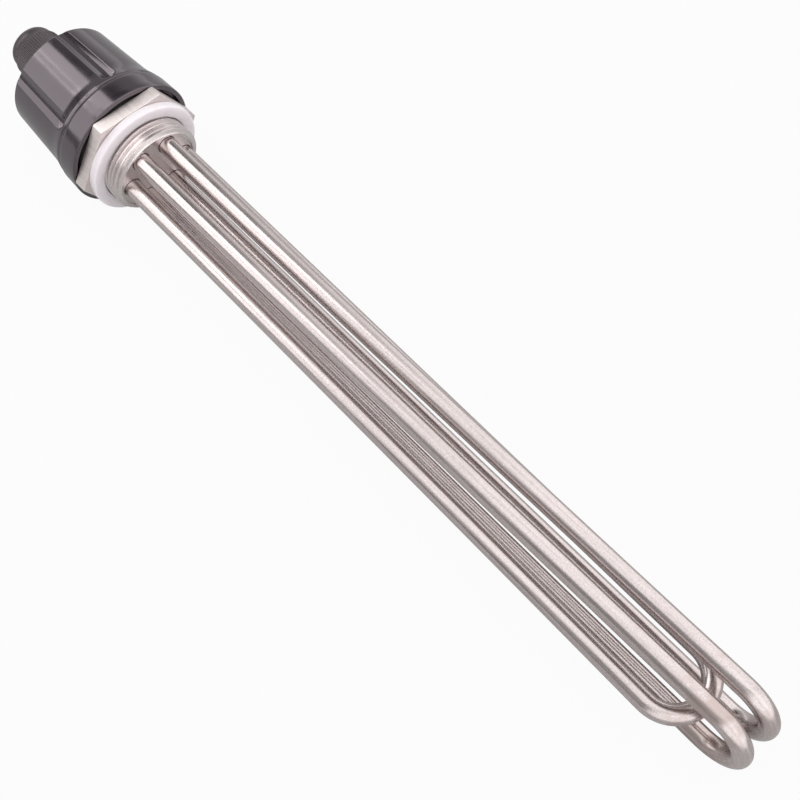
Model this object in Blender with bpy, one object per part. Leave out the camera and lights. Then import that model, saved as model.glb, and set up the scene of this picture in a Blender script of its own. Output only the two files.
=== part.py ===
"""Screw plug immersion heater: three U shaped tubes on a threaded hexagon plug with a grooved terminal cover.

Sizes are in metres. The heater's axis lies on world X, with the tube tips toward +X and the cable gland toward -X.
The origin is on the axis in the plane where the gasket seats on the hexagon, and +Z is up.
"""

import math

import bmesh
import bpy
from mathutils import Vector

# Clearance kept between pieces that touch, so that no two solids share a face
FIT = 0.0003

# Tank thread, a pipe thread of 1 1/4 inch: largest diameter, pitch and depth
THREAD_RADIUS = 0.04191 / 2
THREAD_PITCH = 0.002309
THREAD_DEPTH = 0.001479
THREAD_START = 0.0022
THREAD_STEPS = 44
THREAD_PHASE = math.radians(107)
THREAD_PHASE_X = 0.01080

# Tank gasket in front of the hexagon: width of the ring beyond the thread
GASKET_WIDTH = 0.005545
GASKET_RADIUS = THREAD_RADIUS + GASKET_WIDTH
GASKET_FRONT = 0.0040
GASKET_EDGE = 0.0008

# Plug: hexagon, end rim, tube plate and rear collar
GASKET_LIP = 0.0005
HEX_FLATS = 2 * (GASKET_RADIUS - GASKET_LIP)
HEX_BACK = -0.0058
HEX_EDGE = 0.0003
PLUG_END = 0.0128
END_CHAMFER = 0.0013
PLATE_FRONT = 0.0119
PLATE_BACK = 0.0085
NOSE_WALL = 0.002755
BORE_STEP = 0.0004
RECESS_RADIUS = THREAD_RADIUS - NOSE_WALL
PLUG_BORE = RECESS_RADIUS - BORE_STEP
COLLAR_STEP = 0.002545
COLLAR_WALL = 0.0035
COLLAR_RADIUS = THREAD_RADIUS + COLLAR_STEP
COLLAR_BORE = COLLAR_RADIUS - COLLAR_WALL
COLLAR_BACK = -0.0200

# Heating tubes: tube radius, hole circle in the plate, bend radius common to all three loops
TUBE_RADIUS = 0.0040
LEG_MARGIN = 0.00045
LEG_SPREAD = 0.00105
LEG_CIRCLE = PLUG_BORE - TUBE_RADIUS - LEG_MARGIN
BEND_RADIUS = LEG_CIRCLE + LEG_SPREAD
TUBE_BACK = -0.0140
SHORT_TIP = 0.3235
LONG_TIP = 0.3445
NEAR_LOOP_Y = -0.304 * LEG_CIRCLE
FAR_LOOP_Y = 0.767 * LEG_CIRCLE
LEG_STEPS = 5
BEND_STEPS = 12
TUBE_SIDES = 16

# Terminals behind the plate: bead, stud, nuts, washers and the strip that joins one end of each tube
BEAD_LIP = 0.0003
BEAD_RADIUS = TUBE_RADIUS + BEAD_LIP
BEAD_LENGTH = 0.0080
STUD_RADIUS = 0.0020
STUD_BACK = -0.0350
NUT_FLATS = 0.0070
NUT_HEIGHT = 0.0032
WASHER_RADIUS = 0.0045
WASHER_THICKNESS = 0.0010
EARTH_NUT_FRONT = -0.0177
EARTH_STUD_BACK = -0.0300

# Terminal cover: skirt round the collar, ridge, tapered barrel with grip grooves, rear rim and hollow
SKIRT_ROOM = 0.0039
SKIRT_WALL = 0.0024
SKIRT_BORE = COLLAR_RADIUS + SKIRT_ROOM
SKIRT_RADIUS = SKIRT_BORE + SKIRT_WALL
RIDGE_DROP = 0.00045
RIDGE_RADIUS = SKIRT_RADIUS - RIDGE_DROP
SKIRT_RIDGE = -0.0162
RIDGE_VALLEY = 0.0008
FLARE_START = (SKIRT_RIDGE - 0.0040, SKIRT_RADIUS - 0.0013)
FLARE_MIDDLE = (SKIRT_RIDGE - 0.0066, SKIRT_RADIUS - 0.00195)
FLARE_END = (SKIRT_RIDGE - 0.0092, SKIRT_RADIUS - 0.0023)
RIM_DROP = 0.0043
RIM_X = -0.0546
RIM_RADIUS = SKIRT_RADIUS - RIM_DROP
RIM_EDGE = 0.0009
COVER_BACK = -0.0563
COVER_WALL = 0.0030
BOSS_RADIUS = 0.0130
SEAL_SEAT = -0.0084
HOLLOW_STEP = 0.0015
COVER_HOLLOW = COLLAR_RADIUS - HOLLOW_STEP
COVER_HOLLOW_FRONT = -0.0215
GROOVES = 6
GROOVE_PHASE = math.radians(19.8)
GROOVE_HALF = math.radians(7.3)
GROOVE_FOOT_HALF = math.radians(2.1)
GROOVE_DEPTH = 0.00125
GROOVE_REAR_DEPTH = 0.00080
GROOVE_EDGE = 0.00020

# Cover seal between the hexagon and the cover
SEAL_ROOM = 0.0017
SEAL_OUTER = SKIRT_BORE - SEAL_ROOM

# Cable gland: stud through the cover, hexagon, neck, dome nut and rubber insert
GLAND_STUD_RADIUS = 0.0093
GLAND_STUD_FRONT = -0.0470
GLAND_BORE = 0.0062
GLAND_FLATS = 0.0220
GLAND_HEX_HEIGHT = 0.0030
GLAND_RING = 0.0011
GLAND_NECK_RADIUS = 0.0088
GLAND_NECK_BACK = -0.0770
INSERT_SEAT = -0.0700
INSERT_RADIUS = 0.0071
INSERT_BORE = 0.0050
INSERT_NOSE_RADIUS = 0.0061
INSERT_BACK = -0.0790
LOCKNUT_FLATS = 0.0240
LOCKNUT_HEIGHT = 0.0042
DOME_SKIRT_RADIUS = 0.0116
DOME_SKIRT_BACK = -0.0741
DOME_RADIUS = 0.01045
DOME_BACK = -0.0808
DOME_CORNER = 0.0044
DOME_HOLE = 0.0056
GRIP_RIBS = 60
GRIP_DEPTH = 0.00040

ROUND = 48


def make_material(name, colour, roughness, metallic):
    """One shader for one finish."""
    material = bpy.data.materials.new(name)
    material.use_nodes = True
    shader = material.node_tree.nodes["Principled BSDF"]
    shader.inputs["Base Color"].default_value = (*colour, 1.0)
    shader.inputs["Roughness"].default_value = roughness
    shader.inputs["Metallic"].default_value = metallic
    return material


def add_object(name, shape, material=None):
    """Turn a bmesh into a named object whose normals point outward."""
    bmesh.ops.recalc_face_normals(shape, faces=shape.faces)
    mesh = bpy.data.meshes.new(name)
    shape.to_mesh(mesh)
    shape.free()
    item = bpy.data.objects.new(name, mesh)
    bpy.context.collection.objects.link(item)
    if material is not None:
        mesh.materials.append(material)
        mesh.shade_smooth()
        mesh.set_sharp_from_angle(angle=math.radians(32))
    return item


def hide_tool(item):
    """Keep a cutter or an added block out of the finished part."""
    item.hide_render = True
    item.display_type = "WIRE"
    return item


def combine(target, tool, operation):
    """Add one exact boolean step to the target."""
    step = target.modifiers.new(tool.name, "BOOLEAN")
    step.operation = operation
    step.solver = "EXACT"
    step.object = tool
    hide_tool(tool)


def on_axis(x, radius, angle):
    """Point at a distance from the X axis; the angle turns from +Y toward +Z."""
    return Vector((x, radius * math.cos(angle), radius * math.sin(angle)))


def skin(shape, sections, close_sections=True):
    """Join equal rings of points with quads and cap both ends unless the rings themselves close up."""
    rings = [[shape.verts.new(point) for point in section] for section in sections]
    pairs = list(zip(rings, rings[1:]))
    if not close_sections:
        pairs.append((rings[-1], rings[0]))
    for first, second in pairs:
        count = len(first)
        for i in range(count):
            j = (i + 1) % count
            shape.faces.new((first[i], first[j], second[j], second[i]))
    if close_sections:
        shape.faces.new(list(reversed(rings[0])))
        shape.faces.new(rings[-1])


def turned_ring(name, profile, material=None, segments=ROUND, centre=(0.0, 0.0)):
    """Revolve a closed (x, radius) outline that stays clear of the axis."""
    shape = bmesh.new()
    sections = []
    for i in range(segments):
        angle = 2 * math.pi * i / segments
        offset = Vector((0.0, centre[0], centre[1]))
        sections.append([on_axis(x, radius, angle) + offset for x, radius in profile])
    skin(shape, sections, close_sections=False)
    return add_object(name, shape, material)


def turned_solid(name, profile, material=None, segments=ROUND, centre=(0.0, 0.0)):
    """Revolve an (x, radius) line whose two ends are closed by flat discs."""
    shape = bmesh.new()
    sections = []
    for x, radius in profile:
        offset = Vector((0.0, centre[0], centre[1]))
        ring = [on_axis(x, radius, 2 * math.pi * i / segments) + offset for i in range(segments)]
        sections.append(ring)
    skin(shape, sections)
    return add_object(name, shape, material)


def hexagon(name, front, back, flats, edge, material=None, centre=(0.0, 0.0)):
    """Six sided bar with small bevels, one flat facing up."""
    shape = bmesh.new()
    corner = flats / 2 / math.cos(math.pi / 6)
    offset = Vector((0.0, centre[0], centre[1]))
    sections = []
    for x in (back, front):
        sections.append([on_axis(x, corner, math.pi / 3 * i) + offset for i in range(6)])
    skin(shape, sections)
    if edge:
        bmesh.ops.bevel(shape, geom=shape.edges[:], offset=edge, segments=1, affect="EDGES")
    return add_object(name, shape, material)


def corner_arc(x, radius, size, start, steps=4):
    """Points of a quarter circle of the given size about (x, radius), turning from start by a right angle."""
    points = []
    for i in range(steps + 1):
        angle = start + math.pi / 2 * i / steps
        points.append((x + size * math.cos(angle), radius + size * math.sin(angle)))
    return points


def sweep(name, path, reference, radius, sides, material):
    """Round bar along a path; the reference vector stays square to the path's plane."""
    shape = bmesh.new()
    sections = []
    for i, point in enumerate(path):
        ahead = path[min(i + 1, len(path) - 1)]
        behind = path[max(i - 1, 0)]
        along = (ahead - behind).normalized()
        across = (reference - along * reference.dot(along)).normalized()
        other = along.cross(across)
        ring = []
        for k in range(sides):
            turn = 2 * math.pi * k / sides
            ring.append(point + across * (radius * math.cos(turn)) + other * (radius * math.sin(turn)))
        sections.append(ring)
    skin(shape, sections)
    return add_object(name, shape, material)


def thread_ridge():
    """Helical ridge with slanted flanks, longer than needed at both ends so that it can be trimmed."""
    root = THREAD_RADIUS - THREAD_DEPTH
    half = THREAD_PITCH / 2
    outline = [
        (-0.92 * half, root - 0.0004),
        (-0.92 * half, root - 0.0001),
        (-0.22 * half, THREAD_RADIUS),
        (0.22 * half, THREAD_RADIUS),
        (0.92 * half, root - 0.0001),
        (0.92 * half, root - 0.0004),
    ]
    first_turn = math.floor((THREAD_START - THREAD_PHASE_X) / THREAD_PITCH) - 1
    last_turn = math.ceil((PLUG_END - THREAD_PHASE_X) / THREAD_PITCH) + 1
    crest_at_phase = THREAD_PHASE_X + half
    shape = bmesh.new()
    sections = []
    for i in range((last_turn - first_turn) * THREAD_STEPS + 1):
        turn = first_turn + i / THREAD_STEPS
        angle = THREAD_PHASE + 2 * math.pi * turn
        x = crest_at_phase + THREAD_PITCH * turn
        sections.append([on_axis(x + dx, radius, angle) for dx, radius in outline])
    skin(shape, sections)
    return add_object("thread ridge", shape)


def build_plug(steel):
    """Hexagon, threaded nose with its tube plate and rear collar: one welded piece."""
    root = THREAD_RADIUS - THREAD_DEPTH
    profile = [
        (PLATE_FRONT, RECESS_RADIUS),
        (PLUG_END, RECESS_RADIUS + 0.0002),
        (PLUG_END, root - 0.0002),
        (PLUG_END - 0.0003, root),
        (-0.0010, root),
        (-0.0010, COLLAR_RADIUS),
        (COLLAR_BACK + 0.0008, COLLAR_RADIUS),
        (COLLAR_BACK, COLLAR_RADIUS - 0.0008),
    ]
    plug = turned_solid("plug", profile, steel, segments=THREAD_STEPS)
    combine(plug, hexagon("hexagon block", 0.0, HEX_BACK, HEX_FLATS, HEX_EDGE), "UNION")
    hollow = [(COLLAR_BACK - 0.001, COLLAR_BORE), (HEX_BACK + 0.0010, COLLAR_BORE)]
    hollow += [(HEX_BACK + 0.0032, PLUG_BORE), (PLATE_BACK, PLUG_BORE)]
    combine(plug, turned_solid("plug hollow", hollow, segments=THREAD_STEPS), "DIFFERENCE")
    for k in range(6):
        angle = math.pi / 3 * k
        hole = turned_solid(
            f"leg hole {k}",
            [(PLATE_BACK - 0.002, TUBE_RADIUS + FIT), (PLUG_END + 0.001, TUBE_RADIUS + FIT)],
            segments=24,
            centre=(LEG_CIRCLE * math.cos(angle), LEG_CIRCLE * math.sin(angle)),
        )
        combine(plug, hole, "DIFFERENCE")
    trimmed = thread_ridge()
    thread_end = PLUG_END - 0.0005
    envelope = turned_ring(
        "thread envelope",
        [
            (THREAD_START, root - 0.0010),
            (THREAD_START, root + 0.0001),
            (THREAD_START + 0.0012, THREAD_RADIUS + 0.0002),
            (PLUG_END - END_CHAMFER, THREAD_RADIUS + 0.0002),
            (thread_end, root + 0.0002),
            (thread_end, root - 0.0010),
        ],
        segments=THREAD_STEPS,
    )
    combine(trimmed, envelope, "INTERSECT")
    combine(plug, trimmed, "UNION")
    return plug


def build_gasket(silicone):
    """Thick soft ring between the hexagon and the tank."""
    back = FIT
    outer = GASKET_RADIUS
    inner = THREAD_RADIUS + FIT
    edge = GASKET_EDGE
    profile = [(back, inner), (back, outer - edge), (back + edge, outer)]
    profile += [(GASKET_FRONT - edge, outer)]
    profile += [(GASKET_FRONT - edge * 0.3, outer - edge * 0.3)]
    profile += [(GASKET_FRONT, outer - edge), (GASKET_FRONT, inner)]
    return turned_ring("tank_gasket", profile, silicone)


def leg_path(start, end, tip_x):
    """Centre line of one leg, straight through the plate and then spreading slowly to the bend."""
    bend_x = tip_x - TUBE_RADIUS - BEND_RADIUS
    points = [Vector((TUBE_BACK, start[0], start[1])), Vector((PLUG_END, start[0], start[1]))]
    for i in range(1, LEG_STEPS + 1):
        share = i / LEG_STEPS
        eased = 0.5 * share + 0.5 * share * share
        x = PLUG_END + (bend_x - PLUG_END) * share
        points.append(
            Vector((x, start[0] + (end[0] - start[0]) * eased, start[1] + (end[1] - start[1]) * eased))
        )
    return points


def build_element(name, angles, tips, tip_x, steel):
    """One U tube: leg, half turn and the other leg."""
    starts = [(LEG_CIRCLE * math.cos(a), LEG_CIRCLE * math.sin(a)) for a in angles]
    first = leg_path(starts[0], tips[0], tip_x)
    second = leg_path(starts[1], tips[1], tip_x)
    centre = (first[-1] + second[-1]) / 2
    arm = first[-1] - centre
    bend = []
    for i in range(1, BEND_STEPS):
        turn = math.pi * i / BEND_STEPS
        bend.append(centre + arm * math.cos(turn) + Vector((BEND_RADIUS * math.sin(turn), 0.0, 0.0)))
    path = first + bend + list(reversed(second))
    reference = Vector((1.0, 0.0, 0.0)).cross(arm.normalized())
    return sweep(name, path, reference, TUBE_RADIUS, TUBE_SIDES, steel)


def build_terminals(ceramic, brass, steel):
    """Beads, studs, nuts, washers and the strip in the terminal space."""
    bead_front = TUBE_BACK - FIT
    bead_back = bead_front - BEAD_LENGTH
    nut_front = bead_back - FIT
    strip_front = nut_front - NUT_HEIGHT - FIT
    strip_back = strip_front - WASHER_THICKNESS
    top_front = strip_back - FIT
    bore = STUD_RADIUS + FIT
    for k in range(6):
        angle = math.pi / 3 * k
        centre = (LEG_CIRCLE * math.cos(angle), LEG_CIRCLE * math.sin(angle))
        number = k + 1
        waist = BEAD_RADIUS - 0.0006
        bead = [(bead_front, bore), (bead_front, waist), (bead_front - 0.0030, waist)]
        bead += [(bead_front - 0.0034, BEAD_RADIUS), (bead_back + 0.0006, BEAD_RADIUS)]
        bead += [(bead_back, BEAD_RADIUS - 0.0006), (bead_back, bore)]
        turned_ring(f"end_bead_{number}", bead, ceramic, segments=18, centre=centre)
        stud = [(STUD_BACK, STUD_RADIUS - 0.0004), (STUD_BACK + 0.0004, STUD_RADIUS)]
        stud += [(bead_front, STUD_RADIUS)]
        turned_solid(f"terminal_stud_{number}", stud, steel, segments=14, centre=centre)
        bored_nut(f"lower_nut_{number}", nut_front, centre, brass)
        bored_nut(f"upper_nut_{number}", top_front, centre, brass)
        if k >= 3:
            flat = [(strip_front, bore), (strip_front, WASHER_RADIUS)]
            flat += [(strip_back, WASHER_RADIUS), (strip_back, bore)]
            turned_ring(f"washer_{number}", flat, brass, segments=20, centre=centre)
    build_strip(strip_front, strip_back, bore, brass)


def bored_nut(name, front, centre, metal):
    """Small hexagon nut; its bore clears the stud."""
    nut = hexagon(name, front, front - NUT_HEIGHT, NUT_FLATS, 0.0003, metal, centre)
    bore = [(front - NUT_HEIGHT - 0.001, STUD_RADIUS + FIT), (front + 0.001, STUD_RADIUS + FIT)]
    combine(nut, turned_solid(f"{name} bore", bore, segments=14, centre=centre), "DIFFERENCE")
    return nut


def build_strip(front, back, bore, brass):
    """Curved strip that joins the first three studs; it is bent on the leg circle with round ends."""
    half = WASHER_RADIUS
    outline = []
    last = 2 * math.pi / 3
    for i in range(13):
        angle = last * i / 12
        outline.append(on_axis(0.0, LEG_CIRCLE + half, angle))
    for i in range(1, 6):
        turn = last + math.pi * i / 6
        outline.append(on_axis(0.0, LEG_CIRCLE, last) + on_axis(0.0, half, turn))
    for i in range(13):
        angle = last * (12 - i) / 12
        outline.append(on_axis(0.0, LEG_CIRCLE - half, angle))
    for i in range(1, 6):
        turn = math.pi + math.pi * i / 6
        outline.append(on_axis(0.0, LEG_CIRCLE, 0.0) + on_axis(0.0, half, turn))
    shape = bmesh.new()
    sections = [[point + Vector((x, 0.0, 0.0)) for point in outline] for x in (back, front)]
    skin(shape, sections)
    strip = add_object("neutral_strip", shape, brass)
    for k in range(3):
        angle = math.pi / 3 * k
        centre = (LEG_CIRCLE * math.cos(angle), LEG_CIRCLE * math.sin(angle))
        hole = turned_solid(
            f"strip hole {k}", [(back - 0.001, bore), (front + 0.001, bore)], segments=14, centre=centre
        )
        combine(strip, hole, "DIFFERENCE")


def build_earth(steel, brass):
    """Earth stud on the axis of the plate with two nuts and a washer."""
    stud = [(EARTH_STUD_BACK, STUD_RADIUS - 0.0004), (EARTH_STUD_BACK + 0.0004, STUD_RADIUS)]
    stud += [(PLATE_BACK - FIT, STUD_RADIUS)]
    turned_solid("earth_stud", stud, steel, segments=14)
    bored_nut("earth_lower_nut", EARTH_NUT_FRONT, (0.0, 0.0), brass)
    front = EARTH_NUT_FRONT - NUT_HEIGHT - FIT
    back = front - WASHER_THICKNESS
    bore = STUD_RADIUS + FIT
    flat = [(front, bore), (front, WASHER_RADIUS), (back, WASHER_RADIUS), (back, bore)]
    turned_ring("earth_washer", flat, brass, segments=20)
    bored_nut("earth_upper_nut", back - FIT, (0.0, 0.0), brass)


def barrel_radius(x):
    """Outside radius of the cover's barrel between its flare and its rear rim."""
    points = [FLARE_START, FLARE_MIDDLE, FLARE_END, (RIM_X, RIM_RADIUS)]
    for (x1, r1), (x2, r2) in zip(points, points[1:]):
        if x >= x2:
            return r1 + (r2 - r1) * (x - x1) / (x2 - x1)
    return RIM_RADIUS


def cover_outline():
    """Closed outline of the cover: skirt, ridge, valley, barrel, rear wall, gland hole and the hollow."""
    front = HEX_BACK - FIT
    outline = [(front, SKIRT_RADIUS - 0.0006), (front - 0.0006, SKIRT_RADIUS)]
    outline += [(SKIRT_RIDGE + 0.0009, RIDGE_RADIUS + 0.0001), (SKIRT_RIDGE, RIDGE_RADIUS)]
    outline += [(SKIRT_RIDGE - 0.0006, RIDGE_RADIUS - 0.0004)]
    outline += [(SKIRT_RIDGE - 0.0012, RIDGE_RADIUS - RIDGE_VALLEY)]
    outline += [(SKIRT_RIDGE - 0.0018, RIDGE_RADIUS - RIDGE_VALLEY)]
    outline += [(SKIRT_RIDGE - 0.0025, RIDGE_RADIUS - 0.0005)]
    outline += [FLARE_START, FLARE_MIDDLE, FLARE_END]
    for share in (0.33, 0.67):
        x = FLARE_END[0] + (RIM_X - FLARE_END[0]) * share
        outline.append((x, barrel_radius(x)))
    corner = barrel_radius(RIM_X + RIM_EDGE)
    outline += corner_arc(RIM_X + RIM_EDGE, corner - RIM_EDGE, RIM_EDGE, math.pi / 2, steps=3)
    outline += [(COVER_BACK + 0.0007, (RIM_RADIUS + BOSS_RADIUS) / 2 - 0.0008), (COVER_BACK, BOSS_RADIUS)]
    outline += [(COVER_BACK, GLAND_STUD_RADIUS + FIT)]
    inner_back = COVER_BACK + COVER_WALL
    outline += [(inner_back, GLAND_STUD_RADIUS + FIT)]
    hollow = corner_arc(inner_back + 0.0025, COVER_HOLLOW - 0.0025, 0.0025, math.pi / 2, steps=3)
    outline += list(reversed(hollow))
    outline += [(COVER_HOLLOW_FRONT - 0.0018, COVER_HOLLOW)]
    outline += [(COVER_HOLLOW_FRONT, COLLAR_RADIUS + FIT), (SEAL_SEAT, COLLAR_RADIUS + FIT)]
    outline += [(SEAL_SEAT, SKIRT_BORE), (front - 0.0004, SKIRT_BORE), (front, SKIRT_BORE + 0.0004)]
    return outline


def groove_floor(x):
    """Radius of the grooves' floor, which runs straight from the rear rim to the skirt."""
    rear = RIM_RADIUS - GROOVE_REAR_DEPTH
    front = FLARE_END[1] - GROOVE_DEPTH
    share = (x - RIM_X) / (FLARE_END[0] - RIM_X)
    return rear + (front - rear) * min(share, 1.0)


def groove_section(x, middle, width, lift):
    """Cross section of one groove cutter: flat floor, sloping walls and a small bevel at the surface."""
    surface = barrel_radius(min(x, FLARE_START[0]))
    floor = groove_floor(x) + lift
    half = GROOVE_HALF * width
    levels = [
        (floor, GROOVE_FOOT_HALF * width),
        (surface - GROOVE_EDGE, half * 0.97),
        (surface + GROOVE_EDGE, half * 1.10),
        (surface + 0.0030, half * 1.25),
    ]
    ring = [on_axis(x, radius, middle - turn) for radius, turn in reversed(levels)]
    ring += [on_axis(x, radius, middle + turn) for radius, turn in levels]
    return ring


def groove_cutters():
    """Six lofted cutters with round front ends."""
    shape = bmesh.new()
    ends = [(0.0026, 0.30, 0.0017), (0.0030, 0.66, 0.0008), (0.0037, 0.90, 0.0002), (0.0048, 1.00, 0.0)]
    stations = [(SKIRT_RIDGE - behind, width, lift) for behind, width, lift in ends]
    stations += [(FLARE_END[0], 1.00, 0.0), ((FLARE_END[0] + RIM_X) / 2, 1.00, 0.0), (COVER_BACK - 0.0020, 1.00, 0.0)]
    for k in range(GROOVES):
        middle = GROOVE_PHASE + 2 * math.pi / GROOVES * k
        skin(shape, [groove_section(x, middle, width, lift) for x, width, lift in stations])
    return add_object("groove cutters", shape)


def build_cover(plastic):
    """Terminal cover with grip grooves; it screws onto the collar."""
    cover = turned_ring("cover", cover_outline(), plastic, segments=60)
    combine(cover, groove_cutters(), "DIFFERENCE")
    return cover


def build_cover_seal(rubber):
    """Flat ring squeezed between the hexagon and the cover."""
    front = HEX_BACK - FIT
    back = SEAL_SEAT + FIT
    inner = COLLAR_RADIUS + FIT
    profile = [(front, inner), (front, SEAL_OUTER), (back, SEAL_OUTER), (back, inner)]
    return turned_ring("cover_seal", profile, rubber)


def build_gland(plastic, rubber):
    """Gland body, its sealing ring and locknut, the rubber insert and the ribbed dome nut."""
    ring_front = COVER_BACK - FIT
    ring_back = ring_front - GLAND_RING
    hex_front = ring_back - FIT
    hex_back = hex_front - GLAND_HEX_HEIGHT
    ring = [(ring_front, GLAND_STUD_RADIUS + FIT), (ring_front, 0.0112)]
    ring += [(ring_back, 0.0112), (ring_back, GLAND_STUD_RADIUS + FIT)]
    turned_ring("gland_ring", ring, rubber, segments=36)

    seat_radius = INSERT_RADIUS + FIT
    body = [
        (GLAND_STUD_FRONT, GLAND_BORE),
        (GLAND_STUD_FRONT, GLAND_STUD_RADIUS - 0.0006),
        (GLAND_STUD_FRONT - 0.0006, GLAND_STUD_RADIUS),
        (hex_front - 0.0010, GLAND_STUD_RADIUS),
        (hex_back, GLAND_NECK_RADIUS),
        (GLAND_NECK_BACK + 0.0005, GLAND_NECK_RADIUS),
        (GLAND_NECK_BACK, GLAND_NECK_RADIUS - 0.0005),
        (GLAND_NECK_BACK, seat_radius),
        (INSERT_SEAT, seat_radius),
        (INSERT_SEAT, GLAND_BORE),
    ]
    gland = turned_ring("gland_body", body, plastic, segments=36)
    flange = hexagon("gland hexagon", hex_front, hex_back, GLAND_FLATS, 0.0004)
    core = [(hex_back - 0.001, GLAND_NECK_RADIUS - 0.0012), (hex_front + 0.001, GLAND_NECK_RADIUS - 0.0012)]
    combine(flange, turned_solid("gland hexagon core", core, segments=36), "DIFFERENCE")
    combine(gland, flange, "UNION")

    lock_back = COVER_BACK + COVER_WALL + FIT
    lock_front = lock_back + LOCKNUT_HEIGHT
    locknut = hexagon("gland_locknut", lock_front, lock_back, LOCKNUT_FLATS, 0.0005, plastic)
    bore = [(lock_back - 0.001, GLAND_STUD_RADIUS + FIT), (lock_front + 0.001, GLAND_STUD_RADIUS + FIT)]
    combine(locknut, turned_solid("gland_locknut bore", bore, segments=36), "DIFFERENCE")

    insert_front = INSERT_SEAT - FIT
    insert = [
        (insert_front, INSERT_BORE),
        (insert_front, INSERT_RADIUS),
        (GLAND_NECK_BACK, INSERT_RADIUS),
        (INSERT_BACK, INSERT_NOSE_RADIUS),
        (INSERT_BACK, INSERT_BORE),
    ]
    turned_ring("gland_insert", insert, rubber, segments=30)
    build_dome(hex_back, plastic)


def build_dome(hex_back, plastic):
    """Dome nut; fine grip ribs run round its skirt."""
    front = hex_back - FIT
    bore = GLAND_NECK_RADIUS + FIT
    cone_front = GLAND_NECK_BACK - FIT
    cone_back = INSERT_BACK - FIT
    outline = [
        (front, bore),
        (front, DOME_SKIRT_RADIUS - GRIP_DEPTH - 0.0001),
        (DOME_SKIRT_BACK, DOME_SKIRT_RADIUS - GRIP_DEPTH - 0.0001),
        (DOME_SKIRT_BACK - 0.0008, DOME_RADIUS),
    ]
    arc = corner_arc(DOME_BACK + DOME_CORNER, DOME_RADIUS - DOME_CORNER, DOME_CORNER, math.pi / 2)
    outline += arc
    outline += [(DOME_BACK, DOME_HOLE), (cone_back, DOME_HOLE)]
    outline += [(cone_back, INSERT_NOSE_RADIUS + FIT), (cone_front, bore)]
    dome = turned_ring("gland_nut", outline, plastic, segments=GRIP_RIBS)
    combine(dome, grip_ring(front), "UNION")
    return dome


def grip_ring(front):
    """Toothed ring whose teeth are the grip ribs."""
    shape = bmesh.new()
    low = DOME_SKIRT_RADIUS - GRIP_DEPTH
    inner = low - 0.0008
    stations = [(front - 0.0002, 0.0), (DOME_SKIRT_BACK + 0.0010, 0.0), (DOME_SKIRT_BACK + 0.0002, GRIP_DEPTH)]
    rings = []
    for x, fall in stations:
        outer = []
        for k in range(GRIP_RIBS):
            for offset, radius in ((-0.28, low), (-0.14, low + GRIP_DEPTH), (0.14, low + GRIP_DEPTH), (0.28, low)):
                angle = 2 * math.pi * (k + offset) / GRIP_RIBS
                outer.append(on_axis(x, max(low, radius - fall), angle))
        rings.append(outer)
    inside = []
    for x in (stations[-1][0], stations[0][0]):
        ring = []
        for k in range(GRIP_RIBS):
            for offset in (-0.28, -0.14, 0.14, 0.28):
                ring.append(on_axis(x, inner, 2 * math.pi * (k + offset) / GRIP_RIBS))
        inside.append(ring)
    skin(shape, rings + inside, close_sections=False)
    return add_object("grip ring", shape)


def main():
    """Clear the scene and build every piece of the heater."""
    for item in list(bpy.data.objects):
        bpy.data.objects.remove(item, do_unlink=True)

    steel = make_material("brushed stainless", (0.72, 0.70, 0.68), 0.30, 1.0)
    tube_steel = make_material("annealed tube", (0.76, 0.72, 0.70), 0.26, 1.0)
    silicone = make_material("translucent silicone", (0.83, 0.82, 0.84), 0.45, 0.0)
    plastic = make_material("black gloss plastic", (0.045, 0.043, 0.048), 0.28, 0.0)
    gland_plastic = make_material("black matt nylon", (0.030, 0.030, 0.032), 0.45, 0.0)
    rubber = make_material("black rubber", (0.020, 0.020, 0.020), 0.75, 0.0)
    ceramic = make_material("white ceramic", (0.86, 0.84, 0.80), 0.35, 0.0)
    brass = make_material("plated brass", (0.78, 0.66, 0.38), 0.30, 1.0)

    build_plug(steel)
    build_gasket(silicone)
    sideways = [(BEND_RADIUS, 0.0), (-BEND_RADIUS, 0.0)]
    build_element("element_1", (0.0, math.pi), sideways, SHORT_TIP, tube_steel)
    for name, direction, tip_y in (("element_2", 1, NEAR_LOOP_Y), ("element_3", 2, FAR_LOOP_Y)):
        angle = 2 * math.pi / 3 if direction == 1 else math.pi / 3
        tips = [(tip_y, BEND_RADIUS), (tip_y, -BEND_RADIUS)]
        build_element(name, (angle, -angle), tips, LONG_TIP, tube_steel)
    build_terminals(ceramic, brass, steel)
    build_earth(steel, brass)
    build_cover_seal(rubber)
    build_cover(plastic)
    build_gland(gland_plastic, rubber)


main()
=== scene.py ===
"""Looks of a screw plug immersion heater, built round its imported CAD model.

Sizes are in metres, in the CAD model's frame: the heater's axis is X, the tube tips point to +X and the
cable gland to -X, and +Z is up. Each visible sub-assembly is a class that builds and dresses its own pieces.
"""

import logging
import math
from dataclasses import dataclass
from enum import Enum
from typing import Sequence

import bmesh
import bpy
import numpy as np
from mathutils import Matrix, Vector


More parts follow.
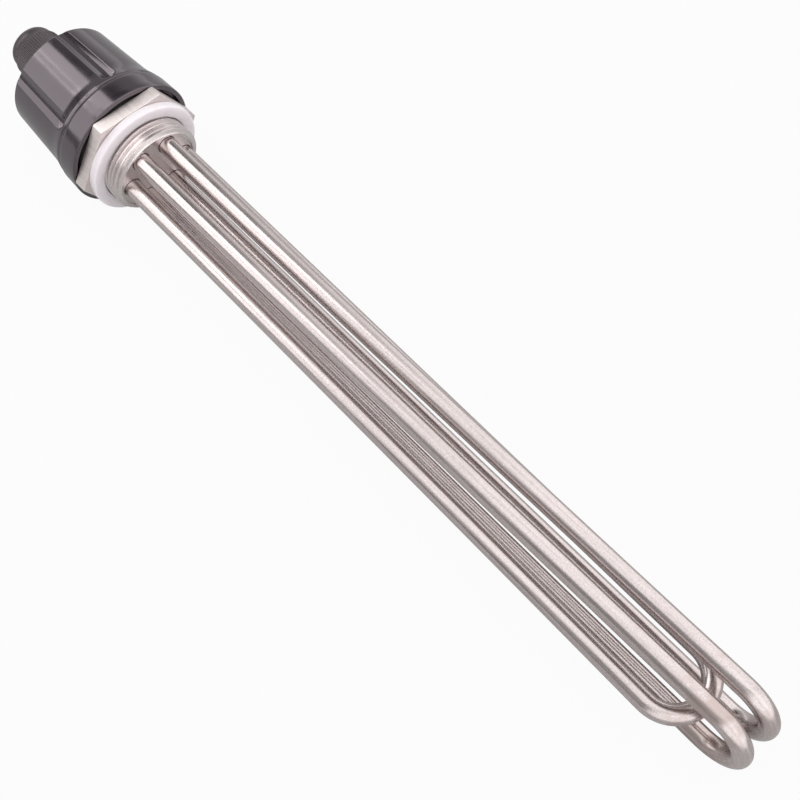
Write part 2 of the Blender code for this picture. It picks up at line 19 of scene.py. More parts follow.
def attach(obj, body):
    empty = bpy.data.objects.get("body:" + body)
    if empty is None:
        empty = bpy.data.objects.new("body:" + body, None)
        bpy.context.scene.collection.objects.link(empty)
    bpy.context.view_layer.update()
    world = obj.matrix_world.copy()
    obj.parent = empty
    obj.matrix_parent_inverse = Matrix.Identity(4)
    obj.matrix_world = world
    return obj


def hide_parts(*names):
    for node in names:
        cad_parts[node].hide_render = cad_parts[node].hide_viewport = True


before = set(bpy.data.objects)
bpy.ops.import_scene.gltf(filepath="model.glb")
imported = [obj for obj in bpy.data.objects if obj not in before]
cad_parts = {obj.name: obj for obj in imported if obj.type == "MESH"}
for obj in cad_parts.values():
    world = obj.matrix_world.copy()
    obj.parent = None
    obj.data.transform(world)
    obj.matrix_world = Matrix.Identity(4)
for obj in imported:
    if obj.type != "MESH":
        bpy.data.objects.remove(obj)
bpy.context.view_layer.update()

LOG = logging.getLogger("immersion_heater")

# The gap between seated pieces, and the distance at which two points of a mesh become one.
FIT = 0.0003
WELD = 0.0000004
WHITE = (1.0, 1.0, 1.0, 1.0)

Colour = tuple[float, float, float]
Place = tuple[float, float, float]
Point = tuple[float, float]
Line = Sequence[Point]
Edges = list[bmesh.types.BMEdge]
Socket = bpy.types.NodeSocket
Material = bpy.types.Material


class Body(Enum):
    """The bodies of the CAD model that new pieces ride on."""

    PLUG = "plug_and_tubes"
    COVER = "cover_and_gland"
    NUT = "dome_nut"


class Grain(Enum):
    """Direction of the fine marks that working leaves in a metal surface."""

    TURNED = "turned"
    BRUSHED = "brushed"
    ROLLED = "rolled"
    DRAWN = "drawn"


# Node graphs and finishes


class Wiring:
    """Nodes of one node tree, with short ways to add and join them."""

    def __init__(self, tree: bpy.types.NodeTree, place: str) -> None:
        """Start on a node tree.

        Args:
            tree: the node tree of a material or of the world.
            place: the texture coordinate that the nodes read.
        """
        self.nodes = tree.nodes
        self.links = tree.links
        self.place = self.nodes.new("ShaderNodeTexCoord").outputs[place]

    def math(self, operation: str, *terms: object) -> Socket:
        """Add a math node.

        Args:
            operation: name of the operation.
            terms: sockets or numbers, in the node's order.

        Returns:
            The result socket.
        """
        node = self.nodes.new("ShaderNodeMath")
        node.operation = operation
        for slot, term in zip(node.inputs, terms):
            self.feed(slot, term)
        return node.outputs[0]

    def feed(self, slot: Socket, term: object) -> None:
        """Give an input its value.

        Args:
            slot: the input.
            term: a number, a colour, a vector or the output of another node.
        """
        if isinstance(term, Socket):
            self.links.new(term, slot)
        else:
            slot.default_value = term

    def fill(self, node: bpy.types.Node, terms: dict[str, object]) -> bpy.types.Node:
        """Give several inputs of a node their values.

        Args:
            node: the node.
            terms: values or sockets by the names of the inputs.

        Returns:
            The same node.
        """
        for name, term in terms.items():
            self.feed(node.inputs[name], term)
        return node

    def add(self, kind: str, terms: dict[str, object]) -> bpy.types.Node:
        """Add a node of a kind with some of its inputs filled."""
        return self.fill(self.nodes.new(kind), terms)

    def split(self) -> tuple[Socket, Socket, Socket]:
        """Return the x, y and z of the place that is read."""
        node = self.add("ShaderNodeSeparateXYZ", {"Vector": self.place})
        return node.outputs[0], node.outputs[1], node.outputs[2]

    def spread(self, value: Socket, low: float, high: float, start: float = 0.3, end: float = 0.7) -> Socket:
        """Map a value's range to another one, clamped at both ends.

        Args:
            value: socket to map.
            low: result at the start of the range.
            high: result at the end of the range.
            start: start of the range that is read.
            end: end of the range that is read.

        Returns:
            The mapped socket.
        """
        terms = {"Value": value, "From Min": start, "From Max": end, "To Min": low, "To Max": high}
        return self.add("ShaderNodeMapRange", terms).outputs["Result"]

    def ramp(self, value: Socket, start: float, end: float) -> Socket:
        """Return a value that rises from 0 to 1 as another one goes from a start to an end."""
        return self.spread(value, 0.0, 1.0, start, end)

    def weigh(self, first: Socket, second: Socket, share: float) -> Socket:
        """Add two values, the first by a share and the second by the rest."""
        rest = self.math("MULTIPLY", second, 1.0 - share)
        return self.math("ADD", self.math("MULTIPLY", first, share), rest)


class Graph(Wiring):
    """Node graph of one material, whose surface is a single Principled shader."""

    def __init__(self, name: str) -> None:
        """Start a new material.

        Args:
            name: name of the material.
        """
        self.material = bpy.data.materials.new(name)
        self.material.use_nodes = True
        super().__init__(self.material.node_tree, "Object")
        self.shader = self.nodes["Principled BSDF"]

    def stretched(self, scale: Place) -> Socket:
        """Return the surface point scaled by a factor for each axis."""
        return self.add("ShaderNodeMapping", {"Vector": self.place, "Scale": scale}).outputs["Vector"]

    def noise(self, where: Socket, scale: float, detail: float, rough: float) -> Socket:
        """Add a noise texture.

        Args:
            where: vector that the noise is read at.
            scale: noise cells for each metre of the vector.
            detail: number of finer layers.
            rough: strength of the finer layers.

        Returns:
            The noise value socket.
        """
        terms = {"Vector": where, "Scale": scale, "Detail": detail, "Roughness": rough}
        return self.add("ShaderNodeTexNoise", terms).outputs["Fac"]

    def mix(self, share: Socket, first: object, second: object) -> Socket:
        """Blend two colours.

        Args:
            share: socket that says how much of the second colour shows.
            first: colour or socket where the share is 0.
            second: colour or socket where the share is 1.

        Returns:
            The colour socket.
        """
        node = self.add("ShaderNodeMix", {"Factor": share})
        node.data_type = "RGBA"
        for slot, term in ((node.inputs[6], first), (node.inputs[7], second)):
            if isinstance(term, tuple):
                term = (*term, 1.0)
            self.feed(slot, term)
        return node.outputs[2]

    def bump(self, height: Socket, depth: float, strength: float, base: Socket | None = None) -> Socket:
        """Raise the surface by a height socket.

        Args:
            height: socket with values between 0 and 1.
            depth: height in metres of a value of 1.
            strength: how much of the bump shows.
            base: normal socket of an earlier bump.

        Returns:
            The normal socket.
        """
        node = self.add("ShaderNodeBump", {"Distance": depth, "Strength": strength, "Height": height})
        if base is not None:
            self.feed(node.inputs["Normal"], base)
        return node.outputs["Normal"]

    def uneven(self, wear: Socket, middle: float, reach: float) -> Socket:
        """Return a roughness that follows the wear both ways from a middle value."""
        return self.spread(wear, middle - reach, middle + reach, start=0.35, end=0.65)

    def finish(self, colour: Socket, roughness: Socket, normal: Socket) -> Material:
        """Join the three detailed inputs of the shader.

        Args:
            colour: base colour socket.
            roughness: roughness socket.
            normal: normal socket.

        Returns:
            The finished material.
        """
        self.fill(self.shader, {"Base Color": colour, "Roughness": roughness, "Normal": normal})
        return self.material


@dataclass(frozen=True)
class Metal:
    """Bare or plated metal with the marks of how it was worked."""

    name: str
    grain: Grain
    colour: Colour
    shade: Colour
    roughness: float
    spread: float = 0.06
    mark_scale: float = 900.0
    depth: float = 0.000012
    cloud_scale: float = 90.0
    speck_scale: float = 1500.0
    tint: Colour | None = None
    tint_from: float = 0.0
    tint_to: float = 0.0
    tint_rise: float = 0.014
    tint_fall: float = 0.012
    tint_most: float = 0.75

    def marks(self, graph: Graph) -> Socket:
        """Add the noise of the working marks, drawn out in their own direction.

        Args:
            graph: the metal's node graph.

        Returns:
            The noise value socket.
        """
        if self.grain is Grain.TURNED:
            x, y, z = graph.split()
            squares = graph.math("ADD", graph.math("POWER", y, 2.0), graph.math("POWER", z, 2.0))
            turned = graph.add("ShaderNodeCombineXYZ", {"X": x, "Y": graph.math("SQRT", squares)})
            return graph.noise(turned.outputs[0], self.mark_scale, 4.0, 0.6)
        if self.grain is Grain.BRUSHED:
            return graph.noise(graph.stretched((0.06, 1.0, 1.0)), self.mark_scale, 4.0, 0.65)
        if self.grain is Grain.ROLLED:
            return graph.noise(graph.place, self.mark_scale, 3.0, 0.6)
        lay = graph.nodes.new("ShaderNodeAttribute")
        lay.attribute_name = "lay"
        return graph.noise(lay.outputs["Vector"], self.mark_scale, 3.0, 0.65)

    def material(self) -> Material:
        """Build the metal's node graph.

        Returns:
            The material.
        """
        graph = Graph(self.name)
        graph.fill(graph.shader, {"Metallic": 1.0})
        marks = self.marks(graph)
        cloud = graph.noise(graph.place, self.cloud_scale, 3.0, 0.55)
        speck = graph.noise(graph.place, self.speck_scale, 2.0, 0.6)
        tone = graph.weigh(marks, speck, 0.55)
        colour = graph.mix(graph.ramp(tone, 0.35, 0.65), self.shade, self.colour)
        if self.tint is not None:
            x, _, _ = graph.split()
            start = graph.ramp(x, self.tint_from, self.tint_from + self.tint_rise)
            stop = graph.spread(x, 1.0, 0.0, self.tint_to - self.tint_fall, self.tint_to)
            along = graph.math("MULTIPLY", start, stop)
            patch = graph.spread(cloud, 0.0, self.tint_most, start=0.49, end=0.60)
            colour = graph.mix(graph.math("MULTIPLY", along, patch), colour, self.tint)
        rough = graph.uneven(graph.weigh(marks, cloud, 0.6), self.roughness, self.spread)
        first = graph.bump(marks, self.depth, 0.5)
        return graph.finish(colour, rough, graph.bump(speck, self.depth * 0.5, 0.3, first))


@dataclass(frozen=True)
class Moulded:
    """Dark moulded plastic or rubber with a fine surface and slightly cloudy gloss."""

    name: str
    colour: Colour
    haze: Colour
    roughness: float
    spread: float
    grain_scale: float
    depth: float
    specular: float
    ior: float = 1.5
    gleam: Colour = (1.0, 1.0, 1.0)
    cloud_scale: float = 60.0
    scuff_scale: float = 420.0
    dust_scale: float = 2400.0
    dust_most: float = 0.35

    def material(self) -> Material:
        """Build the plastic's or rubber's node graph.

        Returns:
            The material.
        """
        graph = Graph(self.name)
        gloss = {"Specular IOR Level": self.specular, "Specular Tint": (*self.gleam, 1.0), "IOR": self.ior}
        graph.fill(graph.shader, gloss)
        cloud = graph.noise(graph.place, self.cloud_scale, 3.0, 0.6)
        pores = graph.noise(graph.place, self.grain_scale, 3.0, 0.6)
        scuffs = graph.noise(graph.stretched((0.15, 1.0, 1.0)), self.scuff_scale, 3.0, 0.7)
        dust = graph.noise(graph.place, self.dust_scale, 1.0, 0.5)
        dust = graph.spread(dust, 0.0, self.dust_most, start=0.70, end=0.78)
        share = graph.math("ADD", graph.spread(cloud, 0.0, 0.5), dust)
        colour = graph.mix(share, self.colour, self.haze)
        rough = graph.uneven(graph.weigh(cloud, scuffs, 0.5), self.roughness, self.spread)
        return graph.finish(colour, rough, graph.bump(pores, self.depth, 0.5))


@dataclass(frozen=True)
class Silicone:
    """Soft milky silicone that light goes a little way into."""

    name: str = "milky silicone"
    colour: Colour = (0.79, 0.735, 0.765)
    cloudy: Colour = (0.76, 0.705, 0.735)
    roughness: float = 0.42
    milk: float = 0.9
    milk_depth: float = 0.0036

    def material(self) -> Material:
        """Build the silicone's node graph.

        Returns:
            The material.
        """
        graph = Graph(self.name)
        milk = {"Subsurface Weight": self.milk, "Subsurface Scale": self.milk_depth}
        graph.fill(graph.shader, {**milk, "Subsurface Radius": (1.0, 0.95, 0.95), "Specular IOR Level": 0.4})
        cloud = graph.noise(graph.place, 140.0, 3.0, 0.5)
        skin = graph.noise(graph.place, 900.0, 3.0, 0.6)
        colour = graph.mix(graph.ramp(cloud, 0.35, 0.65), self.colour, self.cloudy)
        rough = graph.spread(skin, self.roughness - 0.06, self.roughness + 0.08)
        return graph.finish(colour, rough, graph.bump(skin, 0.00003, 0.35))


@dataclass(frozen=True)
class Glaze:
    """Glazed white ceramic with faint specks."""

    name: str = "glazed ceramic"
    colour: Colour = (0.80, 0.78, 0.74)
    speckle: Colour = (0.62, 0.58, 0.50)
    coat: float = 0.5
    coat_roughness: float = 0.12

    def material(self) -> Material:
        """Build the ceramic's node graph.

        Returns:
            The material.
        """
        graph = Graph(self.name)
        graph.fill(graph.shader, {"Coat Weight": self.coat, "Coat Roughness": self.coat_roughness})
        specks = graph.noise(graph.place, 2600.0, 2.0, 0.5)
        body = graph.noise(graph.place, 500.0, 3.0, 0.5)
        colour = graph.mix(graph.spread(specks, 0.0, 0.7, start=0.60, end=0.74), self.colour, self.speckle)
        return graph.finish(colour, graph.spread(body, 0.25, 0.42), graph.bump(body, 0.00004, 0.4))


@dataclass(frozen=True)
class FineThread:
    """Plated metal of a stud, with a rolled screw thread along X."""

    name: str
    colour: Colour
    # shade is the dark colour painted into the thread's roots as painted shade.
    shade: Colour
    pitch: float = 0.0007
    depth: float = 0.00022

    def material(self) -> Material:
        """Build the stud's node graph.

        Returns:
            The material.
        """
        graph = Graph(self.name)
        graph.fill(graph.shader, {"Metallic": 1.0})
        x, _, _ = graph.split()
        turn = graph.math("SINE", graph.math("MULTIPLY", x, 2 * math.pi / self.pitch))
        ridge = graph.ramp(turn, -1.0, 1.0)
        grime = graph.noise(graph.place, 700.0, 3.0, 0.6)
        # Painted shade: the thread's roots take the dark shade colour and its crests the plain colour; the
        # grime noise also darkens the crests at random.
        share = graph.math("MULTIPLY", ridge, graph.spread(grime, 0.6, 1.0))
        colour = graph.mix(share, self.shade, self.colour)
        return graph.finish(colour, graph.spread(grime, 0.24, 0.40), graph.bump(ridge, self.depth, 1.0))


class Finishes:
    """All finishes of the heater, each built once."""

    def __init__(self) -> None:
        """Build the materials."""
        self.turned = Metal(
            "turned stainless", Grain.TURNED, (0.80, 0.75, 0.74), (0.66, 0.60, 0.59), roughness=0.27
        ).material()
        self.bar = Metal(
            "hexagon bar stainless", Grain.BRUSHED, (0.86, 0.79, 0.77), (0.72, 0.65, 0.63),
            roughness=0.48, mark_scale=700.0,
        ).material()
        self.plate = Metal(
            "rolled plate stainless", Grain.ROLLED, (0.80, 0.74, 0.73), (0.68, 0.62, 0.61),
            roughness=0.36, spread=0.05, mark_scale=500.0,
        ).material()
        self.tube = Metal(
            "annealed tube stainless", Grain.DRAWN, (0.74, 0.665, 0.655), (0.50, 0.44, 0.43),
            roughness=0.25, mark_scale=1400.0, depth=0.000015,
            tint=(0.50, 0.405, 0.38), tint_from=0.304, tint_to=0.345,
        ).material()
        self.brass = Metal(
            "plated brass", Grain.TURNED, (0.78, 0.66, 0.40), (0.60, 0.48, 0.27),
            roughness=0.28, mark_scale=1100.0,
        ).material()
        self.stud = FineThread("threaded stud", (0.68, 0.66, 0.64), (0.30, 0.29, 0.28)).material()
        self.gloss = Moulded(
            "gloss black plastic", (0.017, 0.014, 0.017), (0.026, 0.022, 0.026),
            roughness=0.17, spread=0.04, grain_scale=1400.0, depth=0.000008,
            specular=1.0, ior=1.62, gleam=(1.0, 0.87, 0.95),
        ).material()
        self.matt = Moulded(
            "matt black nylon", (0.024, 0.019, 0.021), (0.042, 0.034, 0.037),
            roughness=0.42, spread=0.06, grain_scale=2200.0, depth=0.000020,
            specular=0.9, gleam=(1.0, 0.86, 0.90),
        ).material()
        self.rubber = Moulded(
            "black rubber", (0.016, 0.016, 0.016), (0.040, 0.039, 0.038),
            roughness=0.72, spread=0.08, grain_scale=1800.0, depth=0.000030, specular=0.4,
        ).material()
        self.silicone = Silicone().material()
        self.ceramic = Glaze().material()


# Mesh building


def on_axis(x: float, radius: float, angle: float) -> Place:
    """Return the point at a distance from the X axis; the angle turns from +Y toward +Z."""
    return (x, radius * math.cos(angle), radius * math.sin(angle))


def full_turn(count: int) -> np.ndarray:
    """Return evenly spaced angles round one turn."""
    return np.arange(count) * 2 * math.pi / count


def round_axis(x: np.ndarray | float, radius: np.ndarray | float, turns: np.ndarray) -> np.ndarray:
    """Return points at distances and angles round the X axis; the last dimension holds x, y and z."""
    return np.stack(np.broadcast_arrays(x, radius * np.cos(turns), radius * np.sin(turns)), axis=-1)


def off_whole(count: np.ndarray) -> np.ndarray:
    """Return how far numbers are from whole ones, as 0 on a whole number and 1 halfway between two."""
    return np.abs(count - np.round(count)) * 2


def read_line(where: np.ndarray | float, line: Line) -> np.ndarray | float:
    """Return the value of a line of place and value, in rising order, at one or more places."""
    places, values = zip(*line)
    return np.interp(where, places, values)


def arc(centre: Point, size: float, start: float, sweep: float, steps: int) -> list[Point]:
    """Return points of an arc in the plane of x and radius.

    Args:
        centre: centre of the arc as x and radius.
        size: radius of the arc.
        start: first angle in degrees, from +x toward a larger radius.
        sweep: angle that the arc covers, in degrees.
        steps: number of spans.

    Returns:
        The arc's points as x and radius.
    """
    turns = [math.radians(start + sweep * i / steps) for i in range(steps + 1)]
    return [(centre[0] + size * math.cos(t), centre[1] + size * math.sin(t)) for t in turns]


def link_new(name: str, data: bpy.types.ID) -> bpy.types.Object:
    """Make an object and link it to the scene.

    Args:
        name: name of the object.
        data: its mesh, lamp or camera.

    Returns:
        The new object.
    """
    item = bpy.data.objects.new(name, data)
    bpy.context.scene.collection.objects.link(item)
    return item


class Shell:
    """Points and faces gathered for one piece before they become a mesh."""

    def __init__(self) -> None:
        """Start an empty shell."""
        self.points: list[Place] = []
        self.faces: list[tuple[int, ...]] = []
        self.slots: list[int] = []
        self.lay: np.ndarray | None = None

    def grid(self, rows: np.ndarray, closed: bool = False) -> None:
        """Add a sheet of quads that wraps round in its second direction.

        Args:
            rows: points as an array of rows, columns and three coordinates.
            closed: True if the last row joins the first.
        """
        start = len(self.points)
        count, across = rows.shape[:2]
        self.points.extend(map(tuple, rows.reshape(-1, 3).tolist()))
        for i in range(count if closed else count - 1):
            low = start + i * across
            high = start + ((i + 1) % count) * across
            for k in range(across):
                n = (k + 1) % across
                self.faces.append((low + k, low + n, high + n, high + k))
                self.slots.append(0)

    def turned(self, profile: Line, segments: int, centre: Point = (0.0, 0.0), closed: bool = False) -> None:
        """Add a line of x and radius turned round an axis that runs along X.

        Args:
            profile: the line's points.
            segments: number of columns.
            centre: y and z of the axis.
            closed: True if the line is a closed outline.
        """
        line = np.array(profile)
        rows = round_axis(line[:, 0:1], line[:, 1:2], full_turn(segments))
        rows[:, :, 1:] += centre
        self.grid(rows, closed)

    def disc(self, ring: Sequence[Place]) -> None:
        """Add one flat face.

        Args:
            ring: points of its outline.
        """
        start = len(self.points)
        self.points.extend(ring)
        self.faces.append(tuple(range(start, start + len(ring))))
        self.slots.append(0)

    def take(self, shape: bmesh.types.BMesh, slot: int) -> None:
        """Add the points and faces of a bmesh, and free it.

        Args:
            shape: the bmesh.
            slot: material slot of its faces.
        """
        start = len(self.points)
        shape.verts.index_update()
        self.points.extend(tuple(v.co) for v in shape.verts)
        for face in shape.faces:
            self.faces.append(tuple(start + v.index for v in face.verts))
            self.slots.append(slot)
        shape.free()

    def piece(self, name: str, materials: list[Material], sharp: float = 35.0) -> bpy.types.Object:
        """Make the shell into an object.

        Args:
            name: name of the object.
            materials: its material slots.
            sharp: angle in degrees above which an edge stays hard.

        Returns:
            The new object.
        """
        mesh = bpy.data.meshes.new(name)
        mesh.from_pydata(self.points, [], self.faces)
        mesh.polygons.foreach_set("material_index", self.slots)
        if self.lay is not None:
            mesh.attributes.new("lay", "FLOAT_VECTOR", "POINT").data.foreach_set("vector", self.lay.ravel())
        shape = bmesh.new()
        shape.from_mesh(mesh)
        bmesh.ops.remove_doubles(shape, verts=shape.verts, dist=WELD)
        bmesh.ops.recalc_face_normals(shape, faces=shape.faces)
        shape.to_mesh(mesh)
        shape.free()
        for material in materials:
            mesh.materials.append(material)
        mesh.shade_smooth()
        mesh.set_sharp_from_angle(angle=math.radians(sharp))
        LOG.info("%s: %d faces", name, len(mesh.polygons))
        return link_new(name, mesh)


def stand_for(item: bpy.types.Object, body: Body, slot: str, *nodes: str) -> None:
    """Tie a new piece to the CAD model.

    Args:
        item: the piece.
        body: the body that it rides on.
        slot: name of its material slot; not used.
        nodes: the CAD nodes that it stands for.
    """
    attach(item, body.value)
    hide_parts(*nodes)


def dress_node(node: str, material: Material) -> None:
    """Dress a CAD node that stays visible.

    Args:
        node: name of the node.
        material: its finished material.
    """
    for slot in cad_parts[node].material_slots:
        slot.material = material
    LOG.info("%s: dressed", node)


# Sub-assemblies


@dataclass
class HexPlug:
    """Hexagon plug with its pipe thread, tube plate and threaded collar."""

    thread_radius: float = 0.04191 / 2
    pitch: float = 0.002309
    depth: float = 0.001479
    thread_back: float = -0.0010
    thread_start: float = 0.0022
    phase: float = math.radians(107)
    phase_x: float = 0.01080
    end: float = 0.0128
    lip: float = 0.0003
    chamfer: float = 0.0013
    run_in: float = 0.0012
    run_out: float = 0.0008
    ridge: Line = ((0.0, 1.0), (0.22, 1.0), (0.26, 0.965), (0.88, 0.03), (0.94, 0.0), (1.0, 0.0))
    hex_flats: float = 0.052
    hex_back: float = -0.0058
    hex_edge: float = 0.0003
    hex_corner: float = 0.0008
    plate_front: float = 0.0119
    plate_back: float = 0.0085
    recess: float = 0.0182
    bore: float = 0.0178
    collar_radius: float = 0.0235
    collar_bore: float = 0.0200
    collar_back: float = -0.0200
    collar_pitch: float = 0.0020
    collar_depth: float = 0.0007
    collar_stop: float = -0.0095
    collar_edge: float = 0.0008
    collar_overlap: float = 0.0006
    collar_groove: Line = ((0.0, 1.0), (0.30, 1.0), (0.80, 0.0), (1.0, 0.0))
    hole_radius: float = 0.0043
    hole_circle: float = 0.01335
    nose_rows: int = 210
    nose_columns: int = 288
    collar_rows: int = 150
    collar_columns: int = 192
    hole_columns: int = 48

    def thread(self, shell: Shell) -> None:
        """Add the pipe thread as a fine sheet that follows the helix.

        Args:
            shell: shell that gathers the plug.
        """
        root = self.thread_radius - self.depth
        xs = np.linspace(self.thread_back, self.end - self.lip, self.nose_rows)
        x, turn = np.meshgrid(xs, full_turn(self.nose_columns), indexing="ij")
        shift = (x - self.phase_x - self.pitch / 2) / self.pitch - (turn - self.phase) / (2 * math.pi)
        radius = root + self.depth * read_line(off_whole(shift), self.ridge)
        rise = root + np.clip((x - self.thread_start) / self.run_in, 0.0, 1.0) * self.depth
        fall = np.clip((x - (self.end - self.chamfer)) / self.run_out, 0.0, 1.0) * self.depth
        radius = np.maximum(np.minimum(np.minimum(radius, rise), self.thread_radius - fall), root)
        shell.grid(round_axis(x, radius, turn))

    def collar(self, shell: Shell) -> None:
        """Add the rear collar's thread, bore and the hollow behind the plate.

        Args:
            shell: shell that gathers the plug.
        """
        back, edge = self.collar_back, self.collar_edge
        xs = np.linspace(back + edge, self.hex_back + self.collar_overlap, self.collar_rows)
        x, turn = np.meshgrid(xs, full_turn(self.collar_columns), indexing="ij")
        groove = read_line(off_whole(x / self.collar_pitch - turn / (2 * math.pi)), self.collar_groove)
        fade = np.clip((self.collar_stop - x) / self.run_in, 0.0, 1.0)
        shell.grid(round_axis(x, self.collar_radius - self.collar_depth * groove * fade, turn))
        rim = [(back + edge, self.collar_radius - self.collar_depth), (back, self.collar_radius - 0.0015)]
        rim += [(back, self.collar_bore + 0.0004), (back + 0.0004, self.collar_bore)]
        rim += [(self.hex_back + 0.0010, self.collar_bore), (self.hex_back + 0.0032, self.bore)]
        rim += [(self.plate_back, self.bore)]
        shell.turned(rim, self.collar_columns)

    def hexagon(self, shell: Shell) -> None:
        """Add the hexagon with its small edges; its front is covered by the gasket.

        Args:
            shell: shell that gathers the plug.
        """
        corner = self.hex_flats / 2 / math.cos(math.pi / 6)
        shape = bmesh.new()
        rings = []
        for x in (self.hex_back, 0.0):
            rings.append([shape.verts.new(on_axis(x, corner, math.pi / 3 * i)) for i in range(6)])
        for i in range(6):
            k = (i + 1) % 6
            shape.faces.new((rings[0][i], rings[0][k], rings[1][k], rings[1][i]))
        shape.faces.new(rings[0])
        shape.faces.new(rings[1])
        bmesh.ops.recalc_face_normals(shape, faces=shape.faces)
        reach = -self.hex_back / 2
        along = [edge for edge in shape.edges if abs(edge.verts[0].co.x - edge.verts[1].co.x) > reach]
        bmesh.ops.bevel(shape, geom=along, offset=self.hex_corner, segments=4, profile=0.5, affect="EDGES")
        rims = [edge for edge in shape.edges if abs(edge.verts[0].co.x - edge.verts[1].co.x) < reach]
        bmesh.ops.bevel(shape, geom=rims, offset=self.hex_edge, segments=3, profile=0.5, affect="EDGES")
        shell.take(shape, 1)

    def face(self, shell: Shell) -> None:
        """Add the turned end rim and the recess in front of the plate.

        Args:
            shell: shell that gathers the plug.
        """
        root = self.thread_radius - self.depth
        rim = [(self.end - self.lip, root), (self.end - 0.00012, root - 0.00006), (self.end, root - 0.0002)]
        rim += [(self.end, self.recess + 0.0002), (self.end - 0.0001, self.recess + 0.00005)]
        rim += [(self.plate_front + 0.0001, self.recess), (self.plate_front, self.recess - 0.0001)]
        shell.turned(rim, self.nose_columns)

    def plate(self, shell: Shell) -> None:
        """Add both faces of the plate with the six tube holes and the walls of the holes.

        Args:
            shell: shell that gathers the plug.
        """
        front = (self.plate_front, self.recess - 0.0001, self.nose_columns)
        back = (self.plate_back, self.bore, self.collar_columns)
        for x, outer, columns in (front, back):
            shape = bmesh.new()
            edges = self.loop(shape, x, outer, (0.0, 0.0), columns)
            for k in range(6):
                edges += self.loop(shape, x, self.hole_radius, self.hole_centre(k), self.hole_columns)
            bmesh.ops.triangle_fill(shape, edges=edges, use_beauty=True)
            shell.take(shape, 2)
        wall = [(self.plate_front, self.hole_radius), (self.plate_back, self.hole_radius)]
        for k in range(6):
            shell.turned(wall, self.hole_columns, centre=self.hole_centre(k))

    def hole_centre(self, k: int) -> Point:
        """Return the y and z of one tube hole."""
        return on_axis(0.0, self.hole_circle, math.pi / 3 * k)[1:]

    @staticmethod
    def loop(shape: bmesh.types.BMesh, x: float, radius: float, centre: Point, count: int) -> Edges:
        """Add a ring of edges to a bmesh.

        Args:
            shape: the bmesh.
            x: place along the axis.
            radius: radius of the ring.
            centre: y and z of the ring's middle.
            count: number of edges.

        Returns:
            The new edges.
        """
        verts = []
        for turn in full_turn(count):
            _, y, z = on_axis(x, radius, turn)
            verts.append(shape.verts.new((x, centre[0] + y, centre[1] + z)))
        return [shape.edges.new(pair) for pair in zip(verts, verts[1:] + verts[:1])]

    def build(self, finishes: Finishes) -> None:
        """Build and dress the plug.

        Args:
            finishes: the heater's materials.
        """
        shell = Shell()
        self.thread(shell)
        self.face(shell)
        self.plate(shell)
        self.collar(shell)
        self.hexagon(shell)
        item = shell.piece("plug_turned", [finishes.turned, finishes.bar, finishes.plate], sharp=30.0)
        stand_for(item, Body.PLUG, "steel", "plug")


@dataclass
class TankGasket:
    """Thick soft ring in front of the hexagon."""

    inner: float = 0.04191 / 2 + FIT
    outer: float = 0.0265
    front: float = 0.0040
    edge: float = 0.0008
    back_edge: float = 0.0005
    bore_edge: float = 0.0003
    columns: int = 256

    def build(self, finishes: Finishes) -> None:
        """Build and dress the gasket.

        Args:
            finishes: the heater's materials.
        """
        edge, back, bore = self.edge, self.back_edge, self.bore_edge
        outline = [(FIT, self.inner + 0.0002)]
        outline += arc((FIT + back, self.outer - back), back, 180, -90, 5)
        outline += arc((self.front - edge, self.outer - edge), edge, 90, -90, 8)
        outline += arc((self.front - bore, self.inner + bore), bore, 0, -90, 4)
        outline += [(FIT + 0.0002, self.inner)]
        shell = Shell()
        shell.turned(outline, self.columns, closed=True)
        stand_for(shell.piece("gasket_ring", [finishes.silicone]), Body.PLUG, "silicone", "tank_gasket")


